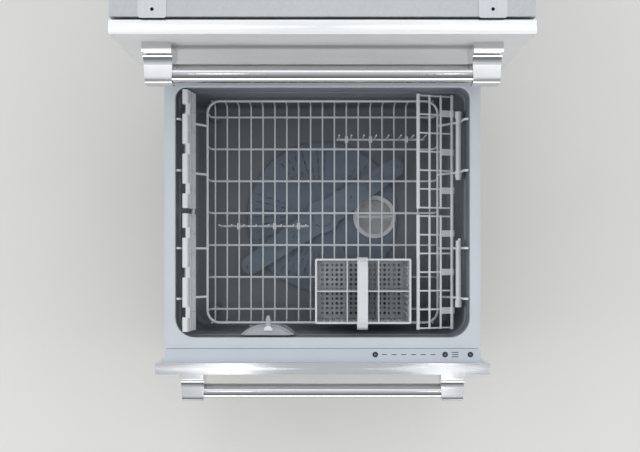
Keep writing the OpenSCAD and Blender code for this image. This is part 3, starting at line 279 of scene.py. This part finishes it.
def moulded(name, tone, gloss, pebble=FINE_PEBBLE):
    """Plastic of one screen colour. Gloss is its middle roughness and pebble the fineness of its grain."""
    finish = Finish(name, IOR=PLASTIC_IOR)
    cloud = finish.grain(14.0)
    skin = finish.grain(pebble, detail=1.0)
    finish.tint(cloud, [value - 7 for value in tone], [value + 4 for value in tone])
    finish.feed("Roughness", skin * 0.12 + cloud * 0.08 + (gloss - 0.1))
    finish.rough(skin, 30 * MICRON)
    return finish.material


strip_plastic = moulded("control_strip_plastic", (194, 201, 208), 0.42)
grey_plastic = moulded("grey_housing_plastic", (140, 146, 152), 0.5)
dispenser_plastic = moulded("dispenser_plastic", (166, 171, 176), 0.45)
filter_plastic = moulded("filter_plastic", (118, 130, 144), 0.4, COARSE_PEBBLE)
white_plastic = moulded("white_rack_plastic", (222, 225, 227), 0.4)
black_plastic = moulded("black_housing_plastic", (34, 34, 36), 0.4)
print("plastics ready")

# %% [markdown]
# The tub is one deep moulding. Its rim, where the lid seals, has the pale grey of the plastic, and below the
# rim the inside is painted a darker grey, which is painted shade for the deep tub. Height on the piece tells
# the two apart.

# %% Tub plastic
RIM_ENDS, BOWL_STARTS = 0.002, 0.012


def tub_plastic(name, rim_height):
    """Rim and inside of the tub in one finish. The colour darkens between two depths under the rim, which is
    painted shade.
    """
    finish = Finish(name, IOR=PLASTIC_IOR)
    spot = finish.node("TexCoord", result="Object")
    height = finish.node("SeparateXYZ", None, {0: spot}, result="Z")
    # deep is 0 on the rim and 1 below it. The darker grey that it brings in is painted shade for the inside
    # of the tub.
    deep = finish.ramp(rim_height - height, RIM_ENDS, BOWL_STARTS)
    cloud = finish.grain(11.0)
    skin = finish.grain(1700.0, detail=1.0)
    rim = finish.between(cloud, colour(196, 203, 208), colour(206, 212, 217))
    shaded_bowl = finish.between(cloud, colour(112, 119, 126), colour(130, 137, 143))
    finish.feed("Base Color", finish.between(deep, rim, shaded_bowl))
    finish.feed("Roughness", skin * 0.14 + deep * -0.08 + 0.4)
    finish.rough(skin, 30 * MICRON)
    return finish.material


lower_tub_plastic = tub_plastic("tub_plastic_lower", lower(0, 0, RIM).z)
upper_tub_plastic = tub_plastic("tub_plastic_upper", upper(0, 0, RIM).z)
print("tub plastics:", lower_tub_plastic.name, upper_tub_plastic.name)

# %% [markdown]
# Racks and baskets are welded wire dipped in nylon powder. The melted coat is glossy and a little uneven,
# like orange peel, and its white drifts from place to place with the thickness of the coat.

# %% Coated wire
def coated_wire():
    finish = Finish("nylon_coated_wire", IOR=1.53, Coat_Roughness=0.12)
    peel = finish.grain(420.0, detail=1.0)
    cloud = finish.grain(17.0)
    finish.tint(cloud, (218, 222, 226), (236, 239, 242))
    finish.feed("Roughness", cloud * 0.1 + peel * 0.08 + 0.24)
    finish.feed("Coat Weight", cloud * 0.3 + 0.2)
    finish.rough(peel, 60 * MICRON)
    return finish.material


wire_coat = coated_wire()
print("wire finish:", wire_coat.name)

# %% [markdown]
# The lid seals are black rubber, dull with a fine bloom, and the kick plate is powder-coated steel, whose
# coat has the same orange peel as paint on a car seen close up.

# %% Rubber and powder coat
RUBBER_IOR, PAINT_IOR = 1.5, 1.5


def rubber():
    finish = Finish("seal_rubber", IOR=RUBBER_IOR)
    bloom = finish.grain(60.0)
    skin = finish.grain(3000.0, detail=1.0)
    finish.tint(bloom, (30, 30, 32), (48, 48, 50))
    finish.feed("Roughness", bloom * 0.15 + skin * 0.1 + 0.55)
    finish.rough(skin, 40 * MICRON)
    return finish.material


def powder_coat():
    finish = Finish("powder_coat_grey", IOR=PAINT_IOR)
    peel = finish.grain(700.0, detail=1.0)
    cloud = finish.grain(12.0)
    finish.tint(cloud, (98, 101, 105), (108, 111, 115))
    finish.feed("Roughness", peel * 0.1 + cloud * 0.08 + 0.38)
    finish.rough(peel, 80 * MICRON)
    return finish.material


seal_rubber, kick_coat = rubber(), powder_coat()
print("dark finishes:", seal_rubber.name, kick_coat.name)

# %% [markdown]
# Each push button is a black cap with a round grey lens in the middle. The cap is one moulding in the CAD
# model, so the lens is painted: Generated coordinates run from 0 to 1 across the cap, and the distance from
# the middle tells lens from ring.

# %% Button cap
LENS_ENDS, RING_STARTS = 0.14, 0.18


def button_cap():
    finish = Finish("button_cap", IOR=PLASTIC_IOR)
    spot = finish.node("TexCoord", result="Generated")
    flat = finish.node("VectorMath", {"operation": "MULTIPLY"}, {0: spot, 1: (1, 1, 0)})
    away = finish.node("VectorMath", {"operation": "DISTANCE"}, {0: flat, 1: (0.5, 0.5, 0)}, result="Value")
    ring = finish.ramp(away, LENS_ENDS, RING_STARTS)
    cloud = finish.grain(90.0)
    lens = finish.between(cloud, colour(104, 108, 112), colour(118, 122, 126))
    finish.feed("Base Color", finish.between(ring, lens, colour(14, 14, 16)))
    finish.feed("Roughness", cloud * 0.1 + ring * 0.12 + 0.22)
    return finish.material


button_plastic = button_cap()
print("button finish:", button_plastic.name)

# %% [markdown]
# The finishes go onto the CAD pieces by name. A CAD mesh may take a new material, but its shape is never
# touched here.

# %% Dressing the CAD pieces
DRESS = {
    galvanised_sheet: "side_panel_left side_panel_right top_panel back_panel base_tray centre_rail",
    kick_coat: "kick_plate",
    runner_zinc: "fixed_runners lower_mid_runners upper_mid_runners lower_drawer_runners "
                 "upper_drawer_runners worktop_brackets",
    black_plastic: "levelling_feet cable_gland",
    button_plastic: "lower_start_button lower_lock_button lower_power_button upper_start_button "
                    "upper_lock_button upper_power_button",
    white_plastic: "lid_guides inlet_valve lower_lid upper_lid drain_filter cutlery_basket cutlery_handle "
                   "cup_rack_rear cup_rack_front",
    grey_plastic: "drain_spigot control_module lower_wash_motor upper_wash_motor",
    dispenser_plastic: "dispenser_body dispenser_door",
    seal_rubber: "lower_lid_seal upper_lid_seal",
    lower_tub_plastic: "lower_tub",
    upper_tub_plastic: "upper_tub",
    strip_plastic: "lower_inner_door upper_inner_door",
    panel_steel: "lower_front_panel upper_front_panel",
    bar_steel: "lower_handle_bar upper_handle_bar",
    bracket_steel: "lower_handle_brackets upper_handle_brackets",
    filter_plastic: "lower_filter_plate upper_filter_plate lower_spray_arm upper_spray_arm rinse_cap",
    wire_coat: "lower_basket upper_basket wire_shelf_rear wire_shelf_front fold_tines_left fold_tines_right",
}
dressed = set()
for finish, names in DRESS.items():
    for name in names.split():
        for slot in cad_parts[name].material_slots:
            slot.material = finish
        dressed.add(name)
print(len(dressed), "of", len(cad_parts), "CAD pieces dressed")

# %% [markdown]
# What is left is small: clips, sleeves, a catch, screw heads and the print on the control strips. Each is a
# mesh made from a few corners, given soft edges, a finish and the body of the machine that it moves with.

# %% Small pieces
CORNER_ANGLE, SHARP_ANGLE = math.radians(30), math.radians(40)


def piece(name, shape, finish, body, soften=0.0):
    """Turns a bmesh into an object. Edges turned by more than CORNER_ANGLE are bevelled by soften metres."""
    if soften:
        sharp = [edge for edge in shape.edges
                 if len(edge.link_faces) == 2 and edge.calc_face_angle() > CORNER_ANGLE]
        bmesh.ops.bevel(shape, geom=sharp, offset=soften, segments=2, profile=0.6, affect="EDGES")
    bmesh.ops.recalc_face_normals(shape, faces=shape.faces)
    mesh = bpy.data.meshes.new(name)
    shape.to_mesh(mesh)
    shape.free()
    mesh.materials.append(finish)
    mesh.shade_smooth()
    mesh.set_sharp_from_angle(angle=SHARP_ANGLE)
    thing = bpy.data.objects.new(name, mesh)
    bpy.context.collection.objects.link(thing)
    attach(thing, body)
    return thing


def add_prism(shape, outline, depth):
    """Adds a closed outline pushed along a depth, both given as vectors, to a bmesh."""
    near = [shape.verts.new(corner) for corner in outline]
    far = [shape.verts.new(corner + depth) for corner in outline]
    shape.faces.new(near)
    shape.faces.new(reversed(far))
    for k in range(len(near)):
        shape.faces.new((near[k - 1], far[k - 1], far[k], near[k]))


def circle(sides):
    """The directions of the corners round a closed outline."""
    return [k * 2 * math.pi / sides for k in range(sides)]


def half_circle(steps):
    """The directions along half a turn, both ends included."""
    return [k * math.pi / steps for k in range(steps + 1)]


print("helpers ready")

# %% [markdown]
# White clips grip the sleeves beside the wire shelves. Seen from the front a clip is a hanging drop, wide
# round the sleeve and narrower below, clear of the shelf that swings past it: two arcs joined by straight
# sides, made by walking round both ends, then pushed along the sleeve.

# %% Rack clips
CLIP_FOOT, FOOT_RADIUS = Vector((254.0, 300.0)), 4.0
SLEEVE, GRIP_RADIUS, SLEEVE_RADIUS = Vector((251.4, 318.0)), 6.3, 5.1
CLIP_LENGTH, CLIP_PLACES = 12.0, (117.0, 357.0, 466.0)
SLEEVE_RUNS = ((118.0, 122.0), (352.0, 124.0))


def rack_clips():
    lean = math.atan2(SLEEVE.y - CLIP_FOOT.y, SLEEVE.x - CLIP_FOOT.x)
    walk = [(CLIP_FOOT, FOOT_RADIUS, lean + math.pi / 2 + turn) for turn in half_circle(10)]
    walk += [(SLEEVE, GRIP_RADIUS, lean - math.pi / 2 + turn) for turn in half_circle(10)]
    for number, y in enumerate(CLIP_PLACES):
        shape = bmesh.new()
        outline = [lower(centre.x + radius * math.cos(turn), y, centre.y + radius * math.sin(turn))
                   for centre, radius, turn in walk]
        add_prism(shape, outline, Vector((0, CLIP_LENGTH * MM, 0)))
        piece(f"rack_clip_{number + 1}", shape, white_plastic, "lower_drawer", 0.8 * MM)
    return len(CLIP_PLACES)


def rack_sleeves():
    """White tubes over the sleeve wires, a little towards the middle, where the clips grip them."""
    shape = bmesh.new()
    for start, length in SLEEVE_RUNS:
        outline = [lower(SLEEVE.x + SLEEVE_RADIUS * math.cos(turn), start,
                         SLEEVE.y + SLEEVE_RADIUS * math.sin(turn)) for turn in circle(24)]
        add_prism(shape, outline, Vector((0, length * MM, 0)))
    return piece("rack_sleeves", shape, white_plastic, "lower_drawer", 0.6 * MM)


print(rack_clips(), "rack clips and", rack_sleeves().name)

# %% [markdown]
# A catch on top of the dispenser holds the detergent door shut: a white half-round button, flat towards the
# front, and a slim lever that runs from it over the tub.

# %% Detergent catch
CATCH = (-98.7, 76.5, 348.0)
BUTTON_SIDEWAYS, BUTTON_BACKWARDS, BUTTON_HEIGHT = 8.0, 8.4, 6.0
LEVER_OUTLINE = ((-4.5, 4), (4.5, 4), (4.2, 20), (2.2, 27), (-2.2, 27), (-4.2, 20))
LEVER_LIFT, LEVER_HEIGHT = 0.5, 4.0


def detergent_catch():
    x, y, z = CATCH
    button = bmesh.new()
    outline = [lower(x + BUTTON_SIDEWAYS * math.cos(turn), y + BUTTON_BACKWARDS * math.sin(turn), z)
               for turn in half_circle(14)]
    add_prism(button, outline, Vector((0, 0, BUTTON_HEIGHT * MM)))
    lever = bmesh.new()
    outline = [lower(x + across, y + back, z + LEVER_LIFT) for across, back in LEVER_OUTLINE]
    add_prism(lever, outline, Vector((0, 0, LEVER_HEIGHT * MM)))
    piece("detergent_catch_button", button, white_plastic, "lower_drawer", 1.2 * MM)
    piece("detergent_catch_lever", lever, dispenser_plastic, "lower_drawer", 0.8 * MM)
    return lower(x, y, z)


print("catch stands at", [round(c, 4) for c in detergent_catch()])

# %% [markdown]
# Sheet-metal screws with a hexagon and a washer in one hold the cabinet together. Their heads line the
# lower, upper and rear edges of its sides, and are flat enough to stay behind the edges of the drawer fronts.
# Each head is two prisms, given by their sides, radius, base and top.

# %% Cabinet screws
WASHER, HEXAGON = (20, 5.0, 0.0, 0.8), (6, 3.6, 0.7, 2.3)
HALF_WIDTH, SCREWS_FRONT, SCREWS_BACK = 0.297, 0.0865, 0.5665
EDGE_ROW = [SCREWS_FRONT + 0.155 * k for k in range(3)]
REAR_COLUMN = [0.052 + 0.162 * k for k in range(6)]


def add_screw(shape, place, outwards):
    """One flanged hexagon head standing on a sheet, its axis along outwards."""
    turn = Vector(outwards).to_track_quat("Z", "Y")
    for sides, radius, base, top in (WASHER, HEXAGON):
        corners = [Vector((radius * math.cos(a), radius * math.sin(a), base)) for a in circle(sides)]
        outline = [place + turn @ (corner * MM) for corner in corners]
        add_prism(shape, outline, turn @ Vector((0, 0, (top - base) * MM)))


def cabinet_screws():
    shape = bmesh.new()
    places = [(y, z) for y in EDGE_ROW for z in (REAR_COLUMN[0], REAR_COLUMN[-1])]
    places += [(SCREWS_BACK, z) for z in REAR_COLUMN]
    for side in (-1, 1):
        for y, z in places:
            add_screw(shape, Vector((side * HALF_WIDTH, y, z)), (side, 0, 0))
    piece("cabinet_screws", shape, runner_zinc, "cabinet", 0.3 * MM)
    return 2 * len(places)


print(cabinet_screws(), "cabinet screws")

# %% [markdown]
# The control strip carries short printed dashes beside its buttons: six in a row on the line of the buttons,
# and three above one another. They are a film of ink, so each is a plate a few hundredths of a millimetre
# thick.

# %% Printed dashes
STRIP_TOP, BUTTON_LINE = 365.0, 34.0
INK, HALF_DASH = 0.05, 0.7
ROW_START, ROW_PITCH, ROW_DASH = 107.0, 17.5, 9.0
STACK_START, STACK_PITCH, STACK_DASH = 233.0, 4.0, 12.0


def printed_dashes(drawer, body):
    shape = bmesh.new()
    dashes = [(ROW_START + ROW_PITCH * k, BUTTON_LINE, ROW_DASH) for k in range(6)]
    dashes += [(STACK_START, BUTTON_LINE + STACK_PITCH * k, STACK_DASH) for k in (-1, 0, 1)]
    for x, y, length in dashes:
        near, far = y - HALF_DASH, y + HALF_DASH
        corners = ((x, near), (x + length, near), (x + length, far), (x, far))
        add_prism(shape, [drawer(a, b, STRIP_TOP) for a, b in corners], Vector((0, 0, INK * MM)))
    return piece(f"{body}_print", shape, black_plastic, body)


for drawer, body in ((lower, "lower_drawer"), (upper, "upper_drawer")):
    print("print:", printed_dashes(drawer, body).name)

# %% [markdown]
# The floor is one pale sheet under the machine. It is staging, not part of the object, and only catches the
# shadow. Its colour alone makes the background pale.

# %% Floor
FLOOR_REACH = 40.0


def floor():
    mesh = bpy.data.meshes.new("studio_floor")
    corners = [(x * FLOOR_REACH, y * FLOOR_REACH, 0) for x, y in ((-1, -1), (1, -1), (1, 1), (-1, 1))]
    mesh.from_pydata(corners, [], [(0, 1, 2, 3)])
    sheet = bpy.data.objects.new("studio_floor", mesh)
    bpy.context.collection.objects.link(sheet)
    finish = Finish("studio_floor", Roughness=0.7)
    finish.tint(finish.grain(3.0), (222, 220, 216), (228, 226, 223))
    mesh.materials.append(finish.material)
    return sheet


print("floor at z =", floor().location.z)

# %% [markdown]
# The light is plain and soft. Plastics only need an even room, but polished steel shows what is round it.
# The photograph's metals are pale towards the back of the room and darker towards the front, with one bright
# low window in front that makes the thin white line on the bars. Both are read from the direction that a ray
# leaves in, which never depends on the camera.

# %% Room
FRONT_WALL, REAR_WALL = (0.22, 0.23, 0.24, 1), (1.25, 1.27, 1.3, 1)
WINDOW_LIGHT = (4.6, 4.6, 4.5, 1)


def studio():
    world = bpy.data.worlds.new("studio_room")
    bpy.context.scene.world = world
    world.use_nodes = True
    room = Recipe(world.node_tree)
    ray = room.node("TexCoord", result="Generated")
    height = room.node("SeparateXYZ", None, {0: ray}, result="Z")
    depth = room.node("SeparateXYZ", None, {0: ray}, result="Y")
    walls = room.between(room.ramp(depth, -0.8, 0.5), FRONT_WALL, REAR_WALL)
    low = room.ramp(height, 0.0, 0.03) * (1.0 - room.ramp(height, 0.18, 0.22))
    window = low * (1.0 - room.ramp(depth, -0.88, -0.72))
    seen = room.between(window, walls, WINDOW_LIGHT)
    world.node_tree.links.new(seen.socket, world.node_tree.nodes["Background"].inputs["Color"])
    return world


print("room:", studio().name)

# %% [markdown]
# Lamps join it. One stands on each side. Two small ones hang where the lower drawer's upper edge mirrors
# them, because the photograph shows two white patches there, and a strip hangs where the upper drawer's edge
# mirrors it. A lamp's power follows from how bright a mirror shows it and from its size.

# %% Lamps
CEILING, MACHINE = 3.6, (0, -0.1, 0.4)


def lamp(name, place, size, radiance, aim=None):
    """A rectangular lamp that a mirror shows at the given radiance. It faces down unless it has an aim."""
    wide, deep = size
    light = bpy.data.lights.new(name, "AREA")
    light.shape, light.size, light.size_y = "RECTANGLE", wide, deep
    light.energy = radiance * math.pi * wide * deep
    holder = bpy.data.objects.new(name, light)
    holder.location = place
    if aim:
        holder.rotation_euler = (Vector(aim) - Vector(place)).to_track_quat("-Z", "Y").to_euler()
    bpy.context.collection.objects.link(holder)
    return holder


lamps = [
    lamp("left_edge_lamp", (-0.45, -0.86, CEILING), (0.2, 0.2), 5.0),
    lamp("right_edge_lamp", (0.56, -0.86, CEILING), (0.06, 0.2), 9.0),
    lamp("rear_edge_lamp", (0.0, 0.66, CEILING), (2.2, 0.26), 1.0),
    lamp("left_lamp", (-3.0, -0.8, 2.0), (1.6, 1.6), 2.6, MACHINE),
    lamp("right_lamp", (3.0, -0.6, 2.0), (1.4, 1.6), 2.4, MACHINE),
]
print(len(lamps), "lamps")

# %% [markdown]
# The photograph was taken from straight above the open drawer, with the picture's own middle a little in
# front of the lens axis, so the camera points down and a small shift, counted in pixels of the picture, does
# the framing.

# %% Camera
FOCAL_PIXELS, PICTURE_WIDTH, SENSOR_WIDTH = 989.0, 640.0, 36.0
SHIFT_ACROSS, SHIFT_UP = -2.5, 29.0
eye = bpy.data.cameras.new("overhead_camera")
eye.sensor_width = SENSOR_WIDTH
eye.lens = FOCAL_PIXELS / PICTURE_WIDTH * SENSOR_WIDTH
eye.shift_x, eye.shift_y = SHIFT_ACROSS / PICTURE_WIDTH, SHIFT_UP / PICTURE_WIDTH
camera = bpy.data.objects.new("overhead_camera", eye)
camera.location = (0.0, -0.3051, 2.247)
bpy.context.collection.objects.link(camera)
bpy.context.scene.camera = camera
bpy.context.scene.view_settings.view_transform = "Standard"
print("lens", round(eye.lens, 2), "mm at height", camera.location.z)
